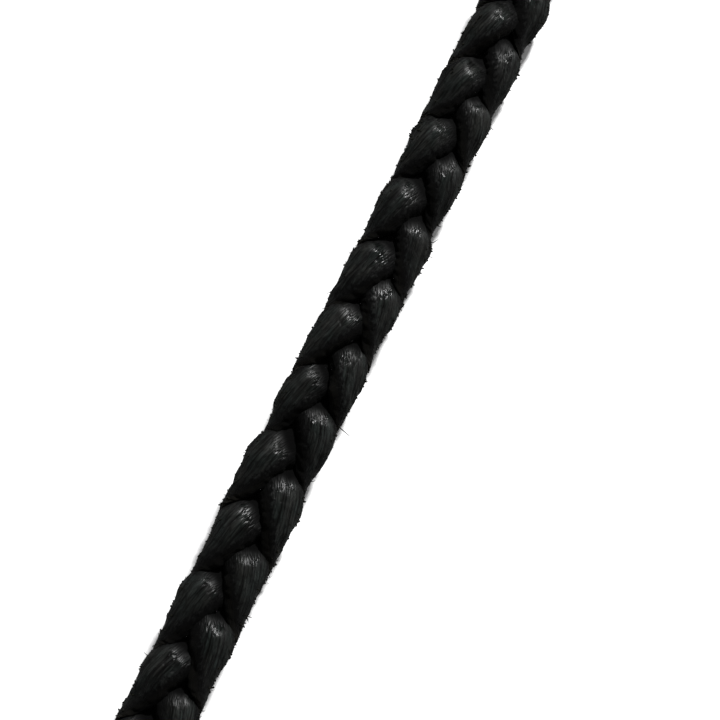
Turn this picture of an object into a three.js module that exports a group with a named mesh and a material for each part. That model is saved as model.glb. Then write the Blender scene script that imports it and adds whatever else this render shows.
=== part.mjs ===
// Braided leather bolo necklace: a loop of braided cord, laid flat, that a barrel clasp closes at the back.
// Millimetres, +Z up. The loop rests on the plane z = 0, with its front towards -Y and its clasp towards +Y.
// The origin is on that plane, in the middle of the loop's bounding box.

import * as THREE from 'three';

// The cord, measured across the flats of its tube.
const cordDiameter = 5;
const cordSides = 12;
const cordSteps = 76;

// The clasp, measured across the flats of its barrel.
const claspDiameter = 7;
const claspLength = 21;
const claspSides = 32;
const claspEdge = 0.3;
const boreDepth = 9;
const boreClearance = 0.38;

// Heights above the surface that the necklace lies on.
const cordAxis = cordDiameter / 2;
const claspAxis = claspDiameter / 2;

// The clasp lies across the back of the loop.
const backOfLoop = 88.1;

// Half of the cord's route, from its glued end inside the clasp, round the left side, to the middle of the front.
// The cord comes straight out of the clasp, settles onto the surface, turns down the side and rounds the front.
const gluedEnd = 1.8;
const leftHalf = [
  { x: -gluedEnd, y: backOfLoop, z: claspAxis },
  { x: -claspLength / 2, y: backOfLoop, z: claspAxis },
  { x: -14.5, y: backOfLoop, z: 3.24 },
  { x: -18.5, y: backOfLoop, z: 2.78 },
  { x: -22.5, y: backOfLoop, z: 2.54 },
  { x: -32.1, y: 86.5, z: cordAxis },
  { x: -40.5, y: 81.6, z: cordAxis },
  { x: -46.7, y: 74.1, z: cordAxis },
  { x: -50.1, y: 65.0, z: cordAxis },
  { x: -52.4, y: 52.0, z: cordAxis },
  { x: -54.7, y: 39.0, z: cordAxis },
  { x: -57.0, y: 26.0, z: cordAxis },
  { x: -59.3, y: 13.0, z: cordAxis },
  { x: -61.5, y: 0, z: cordAxis },
  { x: -63.8, y: -13.1, z: cordAxis },
  { x: -63.8, y: -35.6, z: cordAxis },
  { x: -56.1, y: -56.7, z: cordAxis },
  { x: -41.7, y: -74.0, z: cordAxis },
  { x: -22.2, y: -85.2, z: cordAxis },
  { x: 0, y: -89.1, z: cordAxis },
];

const blackLeather = new THREE.MeshStandardMaterial({
  color: 0x161616,
  roughness: 0.5,
  metalness: 0,
});
const brushedSteel = new THREE.MeshStandardMaterial({
  color: 0xb4b5b8,
  roughness: 0.3,
  metalness: 1,
});

// The whole route: the left half, then its mirror image back to the clasp.
function cordRoute() {
  const left = leftHalf.map((p) => new THREE.Vector3(p.x, p.y, p.z));
  const right = leftHalf.slice(0, -1).reverse().map((p) => new THREE.Vector3(-p.x, p.y, p.z));
  return new THREE.CatmullRomCurve3([...left, ...right], false, 'centripetal');
}

// A regular polygon with a flat side at the bottom, given its diameter across the flats.
function flatSidedSection(diameter, sides) {
  const cornerRadius = diameter / 2 / Math.cos(Math.PI / sides);
  const corners = Array.from({ length: sides }, (_, i) => {
    const angle = ((i + 0.5) * 2 * Math.PI) / sides;
    return new THREE.Vector2(cornerRadius * Math.cos(angle), cornerRadius * Math.sin(angle));
  });
  return new THREE.Shape(corners);
}

// The braided cord as one tube of its outer diameter along its route.
function makeCord() {
  const geometry = new THREE.ExtrudeGeometry(flatSidedSection(cordDiameter, cordSides), {
    steps: cordSteps,
    bevelEnabled: false,
    extrudePath: cordRoute(),
  });
  const cord = new THREE.Mesh(geometry, blackLeather);
  cord.name = 'braided_cord';
  return cord;
}

// The clasp: a barrel turned about its own axis, solid in the middle, with a blind bore at each end for the cord.
function makeClasp() {
  const flatsToCorners = 1 / Math.cos(Math.PI / claspSides);
  const outer = (claspDiameter / 2) * flatsToCorners;
  const cordCorner = cordDiameter / 2 / Math.cos(Math.PI / cordSides);
  const bore = (cordCorner + boreClearance) * flatsToCorners;
  const end = claspLength / 2;
  const boreBottom = end - boreDepth;
  const profile = [
    new THREE.Vector2(0, -boreBottom),
    new THREE.Vector2(bore, -boreBottom),
    new THREE.Vector2(bore, -end),
    new THREE.Vector2(outer - claspEdge, -end),
    new THREE.Vector2(outer, -end + claspEdge),
    new THREE.Vector2(outer, end - claspEdge),
    new THREE.Vector2(outer - claspEdge, end),
    new THREE.Vector2(bore, end),
    new THREE.Vector2(bore, boreBottom),
    new THREE.Vector2(0, boreBottom),
  ];
  const halfSide = Math.PI / claspSides;
  const clasp = new THREE.Mesh(new THREE.LatheGeometry(profile, claspSides, halfSide), brushedSteel);
  clasp.name = 'clasp';
  clasp.rotation.z = Math.PI / 2;
  clasp.position.set(0, backOfLoop, claspAxis);
  return clasp;
}

const necklace = new THREE.Group();
necklace.name = 'braided_leather_bolo_necklace';
necklace.add(makeCord(), makeClasp());

export default necklace;
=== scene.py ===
# A braided leather bolo necklace: a loop of plaited black leather, laid flat, with a steel barrel clasp.
# Metres, +Z up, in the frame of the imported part: the loop's front is towards -Y and its clasp towards +Y.
import math

import bpy
import numpy as np
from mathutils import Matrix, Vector


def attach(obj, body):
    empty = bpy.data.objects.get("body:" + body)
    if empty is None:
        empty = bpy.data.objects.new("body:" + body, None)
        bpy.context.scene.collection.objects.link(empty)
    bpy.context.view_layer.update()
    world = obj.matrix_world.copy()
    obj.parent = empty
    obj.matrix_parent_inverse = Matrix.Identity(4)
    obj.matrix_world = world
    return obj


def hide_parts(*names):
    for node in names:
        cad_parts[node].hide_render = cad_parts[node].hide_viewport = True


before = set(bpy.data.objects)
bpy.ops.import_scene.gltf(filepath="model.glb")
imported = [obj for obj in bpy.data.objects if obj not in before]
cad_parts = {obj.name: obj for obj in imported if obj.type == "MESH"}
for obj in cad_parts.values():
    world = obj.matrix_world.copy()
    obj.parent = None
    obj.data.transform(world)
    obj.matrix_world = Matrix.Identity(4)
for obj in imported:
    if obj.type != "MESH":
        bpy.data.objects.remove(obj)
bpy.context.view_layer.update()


# --- The route of the cord ----------------------------------------------------------------------------
# The cord leaves the clasp's left mouth, settles onto the table, turns down the left side, rounds the front
# and comes back up the right side into the other mouth. The right half is the mirror image of the left.
points_per_span = 60
# From the bottom of the left bore to the middle of the front.
left_half = [
    (-0.0018, 0.0881, 0.0035),
    (-0.0105, 0.0881, 0.0035),
    (-0.0145, 0.0881, 0.00324),
    (-0.0185, 0.0881, 0.00278),
    (-0.0225, 0.0881, 0.00254),
    (-0.0321, 0.0865, 0.0025),
    (-0.0405, 0.0816, 0.0025),
    (-0.0467, 0.0741, 0.0025),
    (-0.0501, 0.0650, 0.0025),
    (-0.0524, 0.0520, 0.0025),
    (-0.0547, 0.0390, 0.0025),
    (-0.0570, 0.0260, 0.0025),
    (-0.0593, 0.0130, 0.0025),
    (-0.0615, 0.0000, 0.0025),
    (-0.0638, -0.0131, 0.0025),
    (-0.0638, -0.0356, 0.0025),
    (-0.0561, -0.0567, 0.0025),
    (-0.0417, -0.0740, 0.0025),
    (-0.0222, -0.0852, 0.0025),
    (0.0000, -0.0891, 0.0025),
]
right_half = [(-x, y, z) for x, y, z in reversed(left_half[:-1])]
route_points = np.array(left_half + right_half)


def smooth_curve(points):
    """A centripetal Catmull-Rom curve through all the points."""
    ends = [2 * points[0] - points[1], *points, 2 * points[-1] - points[-2]]
    t = np.linspace(0, 1, points_per_span, endpoint=False)[:, None]
    spans = []
    for before, start, end, after in zip(ends, ends[1:], ends[2:], ends[3:]):
        gap_in = np.linalg.norm(start - before) ** 0.5
        gap = np.linalg.norm(end - start) ** 0.5
        gap_out = np.linalg.norm(after - end) ** 0.5
        leave = gap * ((start - before) / gap_in - (end - before) / (gap_in + gap) + (end - start) / gap)
        arrive = gap * ((end - start) / gap - (after - start) / (gap + gap_out) + (after - end) / gap_out)
        bend = 2 * start - 2 * end + leave + arrive
        ease = -3 * start + 3 * end - 2 * leave - arrive
        spans.append(start + leave * t + ease * t**2 + bend * t**3)
    return np.concatenate([*spans, points[-1:]])


route = smooth_curve(route_points)
route_gaps = np.linalg.norm(np.diff(route, axis=0), axis=1)
route_lengths = np.concatenate([[0], np.cumsum(route_gaps)])
cord_length = float(route_lengths[-1])


def on_route(line, lengths):
    """Values that are known at the route's points, at these lengths along it."""
    return np.stack([np.interp(lengths, route_lengths, column) for column in line.T], axis=1)


# --- The camera ---------------------------------------------------------------------------------------
# It looks down from over the near side at the straight stretch of cord on the left of the loop, close up.
straight_start = route_points[8]
straight_end = route_points[14]
straight_middle = (straight_start + straight_end) / 2
middle_length = float(route_lengths[np.argmin(np.linalg.norm(route - straight_middle, axis=1))])
view_turn = math.radians(15.4)
view_height = math.radians(73)
view_distance = 0.1143
view_aside = 0.00167
view_lens = 80
view_sensor = 36
view_near = 0.01
view_far = 10

to_camera = Vector(
    (
        math.sin(view_turn) * math.cos(view_height),
        -math.cos(view_turn) * math.cos(view_height),
        math.sin(view_height),
    )
)
to_right = Vector((math.cos(view_turn), math.sin(view_turn), 0))
camera = bpy.data.objects.new("camera", bpy.data.cameras.new("camera"))
bpy.context.scene.collection.objects.link(camera)
camera.data.lens = view_lens
camera.data.sensor_width = view_sensor
camera.data.clip_start = view_near
camera.data.clip_end = view_far
camera.location = Vector(straight_middle) + to_right * view_aside + to_camera * view_distance
camera.rotation_mode = "QUATERNION"
camera.rotation_quaternion = (-to_camera).to_track_quat("-Z", "Y")
bpy.context.scene.camera = camera


# --- The three laces ----------------------------------------------------------------------------------
# Each is a flat strip of dyed and waxed black leather. They are plaited tightly: a lace comes out of the
# middle, goes over its neighbour to one side, rounds the side of the cord and goes back through the middle.
# Their ends are glued into the clasp. The faces are creased and polished by wear; the cut edges are rough.
leather_black = (0.0009, 0.0009, 0.0008, 1)
leather_worn = (0.0118, 0.0149, 0.0136, 1)
leather_warm = (0.0132, 0.0138, 0.0124, 1)
leather_brown = (0.0030, 0.0026, 0.0017, 1)
# Painted shade: the near-black painted in ragged borders along the cut edges.
painted_edge_shade = (0.0001, 0.0001, 0.0001, 1)
# Painted shade: the near-black painted deep inside the plait, where the gaps are in shade.
painted_depth_shade = (0.0002, 0.0002, 0.0002, 1)
leather_specular = 0.069
# The fine grain and the long streaks, in cells per millimetre along a lace and round it.
grain_cells = (1.6, 5.5, 1)
grain_groove = 0.22
streak_cells = (0.35, 5, 1)
streak_detail = 4
streak_roughness = 0.6
streak_share = 2.5
crease_depth = 0.000018
# The polish of the worn faces, from glossy to dull, and the warmer tint that goes with it.
polish_cells = 0.9
polish_detail = 3
polish_from = 0.3
polish_to = 0.7
glossy_roughness = 0.11
dull_roughness = 0.42
unworn_roughness = 1.0
tint_from = 0.4
tint_to = 0.6
# Painted shade: ragged dark borders painted along the cut edges, for the shadow in the gaps beside them.
blotch_cells = 4
blotch_detail = 4
blotch_roughness = 0.65
shade_from = 0.2
shade_to = 0.8
shade_raggedness = 1.6
# How much of a face is worn pale, and how much less of it is in the grain's creases.
wear_from = 0.39
wear_to = 0.59
crease_from = 0.03
crease_to = 0.2
crease_colour = 0.5


def black_leather():
    """Creased grain, paler and glossier where it is worn, with painted shade in ragged dark borders along
    the cut edges and deep inside the plait.
    """
    leather = bpy.data.materials.new("black_leather")
    leather.use_nodes = True
    nodes, links = leather.node_tree.nodes, leather.node_tree.links
    shader = nodes["Principled BSDF"]
    shader.inputs["Specular IOR Level"].default_value = leather_specular

    along_lace = nodes.new("ShaderNodeUVMap")
    along_lace.uv_map = "lace"
    edge = nodes.new("ShaderNodeAttribute")
    edge.attribute_name = "cut_edge"
    near_edge = nodes.new("ShaderNodeAttribute")
    near_edge.attribute_name = "near_edge"
    unworn = nodes.new("ShaderNodeAttribute")
    unworn.attribute_name = "unworn"
    # The "inside" mark carries the painted shade deep in the plait.
    inside = nodes.new("ShaderNodeAttribute")
    inside.attribute_name = "inside"

    stretch = nodes.new("ShaderNodeMapping")
    stretch.inputs["Scale"].default_value = grain_cells
    links.new(along_lace.outputs["UV"], stretch.inputs["Vector"])
    grain = nodes.new("ShaderNodeTexVoronoi")
    grain.feature = "DISTANCE_TO_EDGE"
    grain.inputs["Scale"].default_value = 1
    grain.inputs["Randomness"].default_value = 1
    links.new(stretch.outputs["Vector"], grain.inputs["Vector"])
    groove = nodes.new("ShaderNodeMapRange")
    groove.interpolation_type = "SMOOTHSTEP"
    groove.inputs["From Max"].default_value = grain_groove
    links.new(grain.outputs["Distance"], groove.inputs["Value"])

    long_stretch = nodes.new("ShaderNodeMapping")
    long_stretch.inputs["Scale"].default_value = streak_cells
    links.new(along_lace.outputs["UV"], long_stretch.inputs["Vector"])
    streaks = nodes.new("ShaderNodeTexNoise")
    streaks.inputs["Scale"].default_value = 1
    streaks.inputs["Detail"].default_value = streak_detail
    streaks.inputs["Roughness"].default_value = streak_roughness
    links.new(long_stretch.outputs["Vector"], streaks.inputs["Vector"])

    height = nodes.new("ShaderNodeMath")
    height.operation = "MULTIPLY_ADD"
    height.inputs[1].default_value = streak_share
    links.new(streaks.outputs["Fac"], height.inputs[0])
    links.new(groove.outputs["Result"], height.inputs[2])
    bump = nodes.new("ShaderNodeBump")
    bump.inputs["Distance"].default_value = crease_depth
    bump.inputs["Strength"].default_value = 1
    links.new(height.outputs["Value"], bump.inputs["Height"])
    links.new(bump.outputs["Normal"], shader.inputs["Normal"])

    polish = nodes.new("ShaderNodeTexNoise")
    polish.inputs["Scale"].default_value = polish_cells
    polish.inputs["Detail"].default_value = polish_detail
    links.new(along_lace.outputs["UV"], polish.inputs["Vector"])
    gloss = nodes.new("ShaderNodeMapRange")
    gloss.inputs["From Min"].default_value = polish_from
    gloss.inputs["From Max"].default_value = polish_to
    gloss.inputs["To Min"].default_value = glossy_roughness
    gloss.inputs["To Max"].default_value = dull_roughness
    links.new(polish.outputs["Fac"], gloss.inputs["Value"])

    blotch = nodes.new("ShaderNodeTexNoise")
    blotch.inputs["Scale"].default_value = blotch_cells
    blotch.inputs["Detail"].default_value = blotch_detail
    blotch.inputs["Roughness"].default_value = blotch_roughness
    links.new(along_lace.outputs["UV"], blotch.inputs["Vector"])
    ragged = nodes.new("ShaderNodeMath")
    ragged.operation = "MULTIPLY_ADD"
    ragged.inputs[1].default_value = shade_raggedness
    links.new(blotch.outputs["Fac"], ragged.inputs[0])
    links.new(near_edge.outputs["Fac"], ragged.inputs[2])
    # Painted shade: a ragged band along the cut edges, which also makes them matt.
    shaded = nodes.new("ShaderNodeMapRange")
    shaded.interpolation_type = "SMOOTHSTEP"
    shaded.inputs["From Min"].default_value = shade_from + shade_raggedness / 2
    shaded.inputs["From Max"].default_value = shade_to + shade_raggedness / 2
    links.new(ragged.outputs["Value"], shaded.inputs["Value"])

    unpolished = nodes.new("ShaderNodeMath")
    unpolished.operation = "MAXIMUM"
    links.new(shaded.outputs["Result"], unpolished.inputs[0])
    links.new(unworn.outputs["Fac"], unpolished.inputs[1])
    matt = nodes.new("ShaderNodeMapRange")
    matt.inputs["To Max"].default_value = unworn_roughness
    links.new(unpolished.outputs["Value"], matt.inputs["Value"])
    links.new(gloss.outputs["Result"], matt.inputs["To Min"])
    links.new(matt.outputs["Result"], shader.inputs["Roughness"])

    wear = nodes.new("ShaderNodeMapRange")
    wear.inputs["From Min"].default_value = wear_from
    wear.inputs["From Max"].default_value = wear_to
    links.new(streaks.outputs["Fac"], wear.inputs["Value"])
    creased = nodes.new("ShaderNodeMapRange")
    creased.inputs["From Min"].default_value = crease_from
    creased.inputs["From Max"].default_value = crease_to
    creased.inputs["To Min"].default_value = crease_colour
    links.new(grain.outputs["Distance"], creased.inputs["Value"])
    worn = nodes.new("ShaderNodeMath")
    worn.operation = "MULTIPLY"
    links.new(wear.outputs["Result"], worn.inputs[0])
    links.new(creased.outputs["Result"], worn.inputs[1])

    tint = nodes.new("ShaderNodeMapRange")
    tint.inputs["From Min"].default_value = tint_from
    tint.inputs["From Max"].default_value = tint_to
    links.new(polish.outputs["Fac"], tint.inputs["Value"])
    worn_colour = nodes.new("ShaderNodeMix")
    worn_colour.data_type = "RGBA"
    worn_colour.inputs["A"].default_value = leather_worn
    worn_colour.inputs["B"].default_value = leather_warm
    links.new(tint.outputs["Result"], worn_colour.inputs["Factor"])
    face_colour = nodes.new("ShaderNodeMix")
    face_colour.data_type = "RGBA"
    face_colour.inputs["A"].default_value = leather_black
    links.new(worn_colour.outputs["Result"], face_colour.inputs["B"])
    links.new(worn.outputs["Value"], face_colour.inputs["Factor"])

    # Painted shade along the cut edges.
    with_shade = nodes.new("ShaderNodeMix")
    with_shade.data_type = "RGBA"
    with_shade.inputs["B"].default_value = painted_edge_shade
    links.new(shaded.outputs["Result"], with_shade.inputs["Factor"])
    links.new(face_colour.outputs["Result"], with_shade.inputs["A"])
    with_edge = nodes.new("ShaderNodeMix")
    with_edge.data_type = "RGBA"
    with_edge.inputs["B"].default_value = leather_brown
    links.new(edge.outputs["Fac"], with_edge.inputs["Factor"])
    links.new(with_shade.outputs["Result"], with_edge.inputs["A"])
    # Painted shade: darker the deeper a point is in the plait.
    with_depth_shade = nodes.new("ShaderNodeMix")
    with_depth_shade.data_type = "RGBA"
    with_depth_shade.inputs["B"].default_value = painted_depth_shade
    links.new(inside.outputs["Fac"], with_depth_shade.inputs["Factor"])
    links.new(with_edge.outputs["Result"], with_depth_shade.inputs["A"])
    links.new(with_depth_shade.outputs["Result"], shader.inputs["Base Color"])
    return leather


leather = black_leather()

# The plait: the length in which a lace comes back to the same place, how far it swings to the cord's sides
# and front, where its face looks on the way, and where the plait's front looks as it turns a little.
plait_pitch = 0.0161
plait_start = math.radians(215)
side_reach = 0.0019
front_reach = 0.00105
face_turn = math.radians(82)
face_settle = math.radians(-8)
face_lag = math.radians(8)
front_turn = math.radians(77)
front_wander = math.radians(8)
front_wander_length = 0.17
# A lace's own section, and the curl across it that hugs the lace below.
lace_half_width = 0.00155
lace_half_thickness = 0.00062
lace_curl = 450
curl_onset = 4
edge_squareness = 0.25
face_squareness = 0.42
edge_thinning = 0.3
section_points = 34
section_samples = 2000
# The plait is thinner than the tube that stands for it, so away from the clasp it sinks onto the table.
plait_sinking = 0.00018
sinking_from = 0.01
sinking_run = 0.012
# Rings of points along a lace, closer together where the camera is close.
fine_step = 0.0001
coarse_step = 0.00022
fine_reach = 0.036
end_trim = 0.004
# How much the laces differ from place to place, and the length and number round a lace of their bumps.
width_variation = 0.11
place_variation = 0.00012
turn_variation = math.radians(6)
face_variation = math.radians(9)
lump_height = 0.0001
lump_cells = (0.0013, 6)
fold_height = 0.00008
fold_cells = (0.0011, 17)
nap_height = 0.00004
nap_cells = (0.00026, 31)
fray_height = 0.0001
fray_cells = (0.00022, 17)
# Which points are on or near a cut edge, as shares of a lace's half width, and which are inside the plait
# or on its unworn sides, as shares of the cord's half width and height.
edge_band = 0.1
near_edge_band = 0.6
cord_half_width = 0.0025
cord_half_height = 0.0019
inside_from = 0.85
inside_to = 0.55
# Painted shade: where, going in from the cord's outside, the colour starts and ends its darkening to
# near-black.
dark_from = 1.1
dark_to = 0.6
worn_to = 0.5
unworn_from = 0.8
# The "lace" map is in millimetres, slipped round the lace so that its creases lie along the cord. The
# "OFBake" map cuts a lace into rows, and lays its two round ends in a corner.
map_scale = 1000
crease_slip = 0.0013
row_count = 7
row_fill = 0.9
row_margin = 0.05
rows_scale = (0.98, 0.96)
rows_place = (0.01, 0.005)
round_end_radius = 0.008
round_end_places = ((0.02, 0.985), (0.04, 0.985))


def eased(values):
    """From 0 to 1, with soft ends."""
    share = np.clip(values, 0, 1)
    return share * share * (3 - 2 * share)


def smooth_bumps(along, around, cell_length, cells_round, seed):
    """Soft bumps from -1 to 1, in cells of one length along a lace and a whole number of them round it."""
    rows = int(np.max(along) / cell_length) + 3
    heights = np.random.default_rng(seed).uniform(-1, 1, (rows, cells_round))
    x = along / cell_length + 1
    y = around * cells_round
    row = np.floor(x).astype(int)
    column = np.floor(y).astype(int)
    on = eased(x - row)
    over = eased(y - column)
    left = column % cells_round
    right = (column + 1) % cells_round
    near = heights[row, left] * (1 - over) + heights[row, right] * over
    far = heights[row + 1, left] * (1 - over) + heights[row + 1, right] * over
    return near * (1 - on) + far * on


def lace_stations():
    """The lengths along the cord at which a lace has a ring of points."""
    steps = [0.0]
    while steps[-1] < cord_length:
        near = abs(steps[-1] - middle_length) < fine_reach
        steps.append(steps[-1] + (fine_step if near else coarse_step))
    return np.minimum(steps, cord_length)


def lace_section():
    """A lace's own section: its points, wide and high, how far round it each is (0 to 1), and its girth."""
    angle = np.linspace(0, 2 * math.pi, section_samples)
    cos, sin = np.cos(angle), np.sin(angle)
    wide = lace_half_width * np.sign(cos) * np.abs(cos) ** edge_squareness
    thinner = 1 - edge_thinning * (wide / lace_half_width) ** 2
    high = lace_half_thickness * thinner * np.sign(sin) * np.abs(sin) ** face_squareness
    round_lengths = np.concatenate([[0], np.cumsum(np.hypot(np.diff(wide), np.diff(high)))])
    share = round_lengths / round_lengths[-1]
    picked = np.arange(section_points) / section_points
    return np.interp(picked, share, wide), np.interp(picked, share, high), picked, round_lengths[-1]


def plaited(turn):
    """Across the cord, to its front and its side: where a lace's middle is, and where its face looks."""
    frontward = front_reach * np.sin(2 * turn)
    sideways = side_reach * np.sin(turn)
    late = turn - face_lag
    facing = math.pi / 2 - face_turn * np.cos(late) - face_settle * np.cos(3 * late)
    return np.stack([frontward, sideways], 1), np.stack([np.cos(facing), np.sin(facing)], 1)


def turned(vectors, angles):
    """Plane vectors, each turned by its own angle."""
    cos, sin = np.cos(angles), np.sin(angles)
    x, y = vectors.T
    return np.stack([x * cos - y * sin, x * sin + y * cos], 1)


def unit(vectors):
    """The same directions, each one long."""
    return vectors / np.linalg.norm(vectors, axis=-1, keepdims=True)


def ring_faces(rings, points):
    """The four-sided faces of a tube that has this many rings of points, looking out."""
    first = np.arange(rings - 1)[:, None] * points
    here = np.arange(points)[None, :]
    after = (here + 1) % points
    corners = [first + here, first + points + here, first + points + after, first + after]
    return np.stack(corners, -1).reshape(-1, 4)


def make_lace(name, start, seed):
    """One lace, from bore to bore. Its start sets its place in the plait, and its seed its own bumps."""
    lengths = lace_stations()
    from_view = lengths - middle_length
    turn = 2 * math.pi * from_view / plait_pitch + plait_start + start

    def once_a_crossing(number):
        """From -1 to 1, changing from one crossing of the laces to the next."""
        return smooth_bumps(lengths, 0 * lengths, plait_pitch / 3, 1, seed + number)

    turn += turn_variation * once_a_crossing(7)
    centre, face = plaited(turn)
    centre = centre + place_variation * np.stack([once_a_crossing(1), once_a_crossing(2)], 1)
    face = turned(face, face_variation * once_a_crossing(8))
    front = front_turn + front_wander * np.sin(2 * math.pi * from_view / front_wander_length)
    centre, face = turned(centre, front), turned(face, front)
    place = on_route(route, lengths)
    ahead = unit(np.gradient(place, lengths, axis=0))
    inward = unit(np.cross([0, 0, 1], ahead))
    upward = np.cross(ahead, inward)
    from_clasp = np.minimum(lengths, cord_length - lengths)
    place[:, 2] -= plait_sinking * eased((from_clasp - sinking_from) / sinking_run)
    middle = place + centre[:, :1] * inward + centre[:, 1:] * upward
    outward = face[:, :1] * inward + face[:, 1:] * upward
    run = unit(np.gradient(middle, lengths, axis=0))
    outward = unit(outward - np.sum(outward * run, axis=1)[:, None] * run)
    across = np.cross(run, outward)

    wide, high, share, girth = lace_section()
    along, around = np.broadcast_arrays(lengths[:, None], share[None, :])
    to_edge = np.abs(wide)[None, :] / lace_half_width
    edge = np.clip((to_edge - (1 - edge_band)) / edge_band, 0, 1)
    near_edge = np.clip((to_edge - (1 - near_edge_band)) / near_edge_band, 0, 1)
    wider = 1 + width_variation * once_a_crossing(3)[:, None]
    lumps = lump_height * smooth_bumps(along, around, *lump_cells, seed + 4)
    folds = fold_height * smooth_bumps(along, around, *fold_cells, seed + 5)
    frays = fray_height * smooth_bumps(along, around, *fray_cells, seed + 6) * edge
    lift = lumps + folds + nap_height * smooth_bumps(along, around, *nap_cells, seed + 9)
    curl = lace_curl / 2 * np.tanh(curl_onset * np.sin(turn))[:, None]
    sideways = wide[None, :] * wider + np.sign(wide)[None, :] * edge * (frays + lift)
    height = high[None, :] - curl * sideways**2 + np.sign(high)[None, :] * (1 - edge) * lift
    rings = middle[:, None] + across[:, None] * sideways[:, :, None] + outward[:, None] * height[:, :, None]

    # Its ends are cut square to the cord.
    for end, way in ((0, 1), (-1, -1)):
        beyond = np.minimum(way * np.sum((rings - place[end]) * ahead[end], -1), 0)
        beyond *= (np.abs(lengths - lengths[end]) < end_trim)[:, None]
        rings -= way * beyond[:, :, None] * ahead[end]

    # Where each point is in the cord, towards its front and its side.
    from_axis = rings - place[:, None]
    to_inside = np.sum(from_axis * inward[:, None], -1)
    to_top = np.sum(from_axis * upward[:, None], -1)
    cos, sin = np.cos(front)[:, None], np.sin(front)[:, None]
    forward = (to_inside * cos + to_top * sin) / cord_half_height
    aside = (to_top * cos - to_inside * sin) / cord_half_width
    from_middle = np.hypot(forward, aside)
    depth = eased((inside_from - from_middle) / (inside_from - inside_to))
    # Painted shade: how much near-black is painted on a point, more the deeper it is in the plait.
    inside = eased((dark_from - from_middle) / (dark_from - dark_to))
    unworn = np.maximum(depth, eased((np.abs(aside) - worn_to) / (unworn_from - worn_to)))

    mesh = bpy.data.meshes.new(name)
    faces = ring_faces(len(lengths), section_points)
    first_ring = np.arange(section_points)
    last_ring = first_ring + (len(lengths) - 1) * section_points
    all_faces = [*faces.tolist(), first_ring.tolist(), last_ring[::-1].tolist()]
    mesh.from_pydata(rings.reshape(-1, 3), [], all_faces)
    mesh.polygons.foreach_set("use_smooth", np.ones(len(mesh.polygons), bool))
    marks = {"cut_edge": edge, "near_edge": near_edge, "unworn": unworn, "inside": inside}
    for mark, values in marks.items():
        layer = mesh.attributes.new(mark, "FLOAT", "POINT")
        layer.data.foreach_set("value", np.broadcast_to(values, depth.shape).astype(np.float32).ravel())

    corner_along = along.ravel()[faces]
    corner_around = around.ravel()[faces]
    corner_around[:, 2:] += np.where(corner_around[:, 2:] < corner_around[:, :2], 1, 0)
    round_end = np.stack([np.cos(share * 2 * math.pi), np.sin(share * 2 * math.pi)], 1)
    slip = crease_slip * np.cos(np.broadcast_to(turn[:, None], along.shape).ravel()[faces])
    flat_map = np.stack([corner_along, corner_around * girth + slip], -1).reshape(-1, 2) * map_scale
    lace_map = np.concatenate([flat_map, round_end, round_end])
    mesh.uv_layers.new(name="lace").uv.foreach_set("vector", lace_map.astype(np.float32).ravel())
    row_length = cord_length / row_count
    row = np.minimum(np.floor(corner_along.mean(1) / row_length), row_count - 1)[:, None]
    up_rows = (corner_around * row_fill + row_margin + row) / row_count
    row_map = np.stack([corner_along / row_length - row, up_rows], -1).reshape(-1, 2)
    end_maps = [round_end * round_end_radius + round_end_place for round_end_place in round_end_places]
    bake_map = np.concatenate([row_map * rows_scale + rows_place, *end_maps])
    mesh.uv_layers.new(name="OFBake").uv.foreach_set("vector", bake_map.astype(np.float32).ravel())

    mesh.materials.append(leather)
    lace = bpy.data.objects.new(name, mesh)
    bpy.context.scene.collection.objects.link(lace)

    free = (from_clasp > free_from)[:, None] & (rings[:, :, 2] > fibre_clearance)
    rough = np.argwhere(free & (depth == 0) & (np.abs(aside) > rough_from))
    rough_roots.append(rings[rough[:, 0], rough[:, 1]])
    rough_ways.append(unit(rings[rough[:, 0], rough[:, 1]] - place[rough[:, 0]]))
    return lace


# Fibres grow only from the rough sides of the cord, clear of the clasp and of the table. Each lace adds the
# places where they can, and the way out from the cord there.
rough_from = 0.85
free_from = 0.0095
fibre_clearance = 0.0009
rough_roots = []
rough_ways = []

laces = [
    make_lace("strand_1", 0, 10),
    make_lace("strand_2", math.radians(120), 20),
    make_lace("strand_3", math.radians(240), 30),
]
for lace in laces:
    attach(lace, "root")
    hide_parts("braided_cord")


# --- The loose fibres ---------------------------------------------------------------------------------
# Fibres of leather that stand out from the rough sides of the laces and grow from them: fine hairs, short
# thick stubs and a few long curled ones. All of them are one piece, which lies with the laces.
# How many there are of each kind, their shortest and longest, their radius and how much they curl.
fibre_kinds = (
    (1500, 0.00008, 0.00024, 0.00003, 1.0),
    (3400, 0.00006, 0.00017, 0.00008, 0.5),
    (90, 0.00025, 0.00045, 0.00004, 1.8),
)
fibre_lean = 0.8
fibre_thinnest = 0.6
fibre_thickest = 1.2
# How far along a fibre each of its rings is, from just inside the lace to the tip, and how thick it is.
fibre_rings = ((-0.1, 1.2), (0.3, 1), (0.6, 0.9), (0.85, 0.75), (1, 0.4))
fibre_sides = 3
fibre_brown = (0.0085, 0.0078, 0.0050, 1)
fibre_dark = (0.0021, 0.0023, 0.0018, 1)
fibre_roughness = 0.8
fibre_specular = 0.05
fibre_mottle_scale = 900

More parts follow.
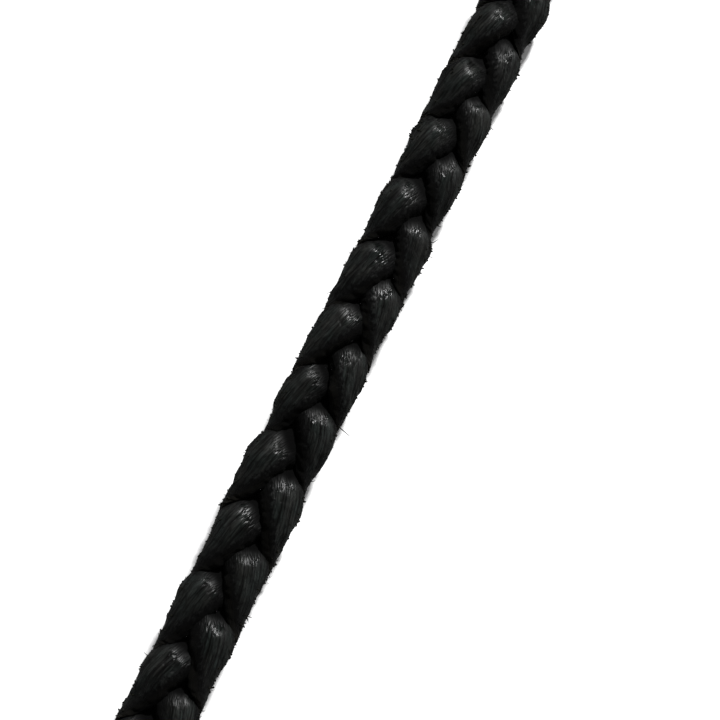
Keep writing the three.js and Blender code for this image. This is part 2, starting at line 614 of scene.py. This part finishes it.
fibre_leather = bpy.data.materials.new("leather_fibre")
fibre_leather.use_nodes = True
nodes, links = fibre_leather.node_tree.nodes, fibre_leather.node_tree.links
nodes["Principled BSDF"].inputs["Roughness"].default_value = fibre_roughness
nodes["Principled BSDF"].inputs["Specular IOR Level"].default_value = fibre_specular
place_in_loop = nodes.new("ShaderNodeTexCoord")
mottle = nodes.new("ShaderNodeTexNoise")
mottle.inputs["Scale"].default_value = fibre_mottle_scale
links.new(place_in_loop.outputs["Object"], mottle.inputs["Vector"])
shade = nodes.new("ShaderNodeMix")
shade.data_type = "RGBA"
shade.inputs["A"].default_value = fibre_dark
shade.inputs["B"].default_value = fibre_brown
links.new(mottle.outputs["Fac"], shade.inputs["Factor"])
links.new(shade.outputs["Result"], nodes["Principled BSDF"].inputs["Base Color"])


def make_fibres(name, seed):
    """Bent hairs, each a three-sided tube that thins to its tip, all in one mesh."""
    random = np.random.default_rng(seed)
    all_roots, all_ways = np.concatenate(rough_roots), np.concatenate(rough_ways)
    batches = []
    for count, shortest, longest, radius, curl in fibre_kinds:
        picked = random.integers(0, len(all_roots), count)
        roots, ways = all_roots[picked], all_ways[picked]
        long = shortest + (longest - shortest) * random.random((count, 1)) ** 2
        lean = unit(ways + fibre_lean * random.uniform(-1, 1, (count, 3)))
        bend = curl * random.uniform(-1, 1, (count, 3))
        side = unit(np.cross(lean, random.normal(size=(count, 3))))
        other = np.cross(lean, side)
        thick = radius * random.uniform(fibre_thinnest, fibre_thickest, (count, 1))
        corners = []
        for share, thinner in fibre_rings:
            middle = roots + long * (share * lean + share * share * bend)
            for number in range(fibre_sides):
                angle = 2 * math.pi * number / fibre_sides
                out = math.cos(angle) * side + math.sin(angle) * other
                corners.append(middle + thick * thinner * out)
        batches.append(np.stack(corners, 1))
    points = np.concatenate(batches)
    first_points = np.arange(len(points))[:, None] * len(fibre_rings) * fibre_sides
    sides = ring_faces(len(fibre_rings), fibre_sides)[:, ::-1]
    root_cap = np.arange(fibre_sides)[::-1]
    tip_cap = np.arange(fibre_sides) + (len(fibre_rings) - 1) * fibre_sides
    faces = (first_points[:, None] + sides).reshape(-1, 4).tolist()
    faces += (first_points + root_cap).tolist() + (first_points + tip_cap).tolist()
    mesh = bpy.data.meshes.new(name)
    mesh.from_pydata(points.reshape(-1, 3), [], faces)
    mesh.polygons.foreach_set("use_smooth", np.ones(len(mesh.polygons), bool))
    mesh.materials.append(fibre_leather)
    fibres = bpy.data.objects.new(name, mesh)
    bpy.context.scene.collection.objects.link(fibres)
    return fibres


fibres = make_fibres("loose_fibres", 40)
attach(fibres, "root")
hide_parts("braided_cord")


# --- The clasp ----------------------------------------------------------------------------------------
# A plain barrel turned from steel, with a blind bore in each end and softly rounded edges.
# The ends of the cord are glued into its bores. Fine lathe marks run round it.
clasp_length = 0.021
clasp_radius = 0.0035
clasp_bore = 0.00297
clasp_bore_depth = 0.009
clasp_place = (0, 0.0881, 0.0035)
clasp_facets = 96
clasp_edge = 0.00022
clasp_edge_steps = 4
sharp_angle = math.radians(40)
steel_light = (0.46, 0.46, 0.47, 1)
steel_grey = (0.32, 0.32, 0.33, 1)
steel_smooth = 0.13
steel_brushed = 0.24
lathe_mark_cells = (9000, 90, 90)
lathe_mark_detail = 5
lathe_mark_from = 0.3
lathe_mark_to = 0.7
lathe_mark_depth = 0.000008

bpy.ops.object.select_all(action="DESELECT")
bpy.ops.mesh.primitive_cylinder_add(vertices=clasp_facets, radius=clasp_radius, depth=clasp_length)
clasp = bpy.context.object
clasp.name = "clasp_barrel"
bpy.ops.object.mode_set(mode="EDIT")
bpy.ops.mesh.select_mode(type="FACE")
bpy.ops.mesh.select_all(action="DESELECT")
bpy.ops.mesh.select_face_by_sides(number=clasp_facets, type="EQUAL")
bpy.ops.mesh.inset(thickness=clasp_radius - clasp_bore)
bpy.ops.mesh.extrude_region()
# The bottoms of the bores, drawn in from the barrel's ends.
bore_bottom_share = 1 - 2 * clasp_bore_depth / clasp_length
bpy.ops.transform.resize(value=(1, 1, bore_bottom_share), center_override=(0, 0, 0))
bpy.ops.mesh.select_all(action="SELECT")
bpy.ops.transform.rotate(value=math.pi / 2, orient_axis="Y", center_override=(0, 0, 0))
bpy.ops.transform.translate(value=clasp_place)
bpy.ops.mesh.normals_make_consistent(inside=False)
bpy.ops.object.mode_set(mode="OBJECT")
rounding = clasp.modifiers.new("rounded_edges", "BEVEL")
rounding.width = clasp_edge
rounding.segments = clasp_edge_steps
rounding.limit_method = "ANGLE"
rounding.angle_limit = sharp_angle
bpy.ops.object.modifier_apply(modifier="rounded_edges")
bpy.ops.object.shade_smooth_by_angle(angle=sharp_angle)

steel = bpy.data.materials.new("turned_steel")
steel.use_nodes = True
nodes, links = steel.node_tree.nodes, steel.node_tree.links
shader = nodes["Principled BSDF"]
shader.inputs["Metallic"].default_value = 1.0
place_on_clasp = nodes.new("ShaderNodeTexCoord")
round_marks = nodes.new("ShaderNodeMapping")
round_marks.inputs["Scale"].default_value = lathe_mark_cells
links.new(place_on_clasp.outputs["Object"], round_marks.inputs["Vector"])
marks = nodes.new("ShaderNodeTexNoise")
marks.inputs["Scale"].default_value = 1
marks.inputs["Detail"].default_value = lathe_mark_detail
links.new(round_marks.outputs["Vector"], marks.inputs["Vector"])
dulling = nodes.new("ShaderNodeMapRange")
dulling.inputs["From Min"].default_value = lathe_mark_from
dulling.inputs["From Max"].default_value = lathe_mark_to
dulling.inputs["To Min"].default_value = steel_smooth
dulling.inputs["To Max"].default_value = steel_brushed
links.new(marks.outputs["Fac"], dulling.inputs["Value"])
links.new(dulling.outputs["Result"], shader.inputs["Roughness"])
steel_tone = nodes.new("ShaderNodeMix")
steel_tone.data_type = "RGBA"
steel_tone.inputs["A"].default_value = steel_light
steel_tone.inputs["B"].default_value = steel_grey
links.new(marks.outputs["Fac"], steel_tone.inputs["Factor"])
links.new(steel_tone.outputs["Result"], shader.inputs["Base Color"])
lathe_marks = nodes.new("ShaderNodeBump")
lathe_marks.inputs["Strength"].default_value = 1
lathe_marks.inputs["Distance"].default_value = lathe_mark_depth
links.new(marks.outputs["Fac"], lathe_marks.inputs["Height"])
links.new(lathe_marks.outputs["Normal"], shader.inputs["Normal"])
clasp.data.materials.append(steel)
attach(clasp, "root")
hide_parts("clasp")


# --- The table and the light --------------------------------------------------------------------------
# A plain white table in an evenly lit room, with a small softbox beyond the back of the loop.
table_side = 8
table_drop = 0.0001
table_white = (0.97, 0.97, 0.97, 1)
table_roughness = 0.9
room_white = (1, 1, 1, 1)
room_light = 0.38
far_light_place = (0.143, 0.754, 0.54)
far_light_size = (0.1, 0.08)
far_light_power = 18
far_light_target = (-0.05, 0, 0)

bpy.ops.mesh.primitive_plane_add(size=table_side, location=(0, 0, -table_drop))
table = bpy.context.object
table.name = "table"
white = bpy.data.materials.new("white_table")
white.use_nodes = True
white.node_tree.nodes["Principled BSDF"].inputs["Base Color"].default_value = table_white
white.node_tree.nodes["Principled BSDF"].inputs["Roughness"].default_value = table_roughness
table.data.materials.append(white)

world = bpy.data.worlds.new("studio")
world.use_nodes = True
world.node_tree.nodes["Background"].inputs["Color"].default_value = room_white
world.node_tree.nodes["Background"].inputs["Strength"].default_value = room_light
bpy.context.scene.world = world

light = bpy.data.objects.new("far_softbox", bpy.data.lights.new("far_softbox", "AREA"))
bpy.context.scene.collection.objects.link(light)
light.data.shape = "RECTANGLE"
light.data.size, light.data.size_y = far_light_size
light.data.energy = far_light_power
light.location = far_light_place
light.rotation_mode = "QUATERNION"
light.rotation_quaternion = (Vector(far_light_target) - Vector(far_light_place)).to_track_quat("-Z", "Y")
bpy.context.scene.view_settings.view_transform = "Standard"
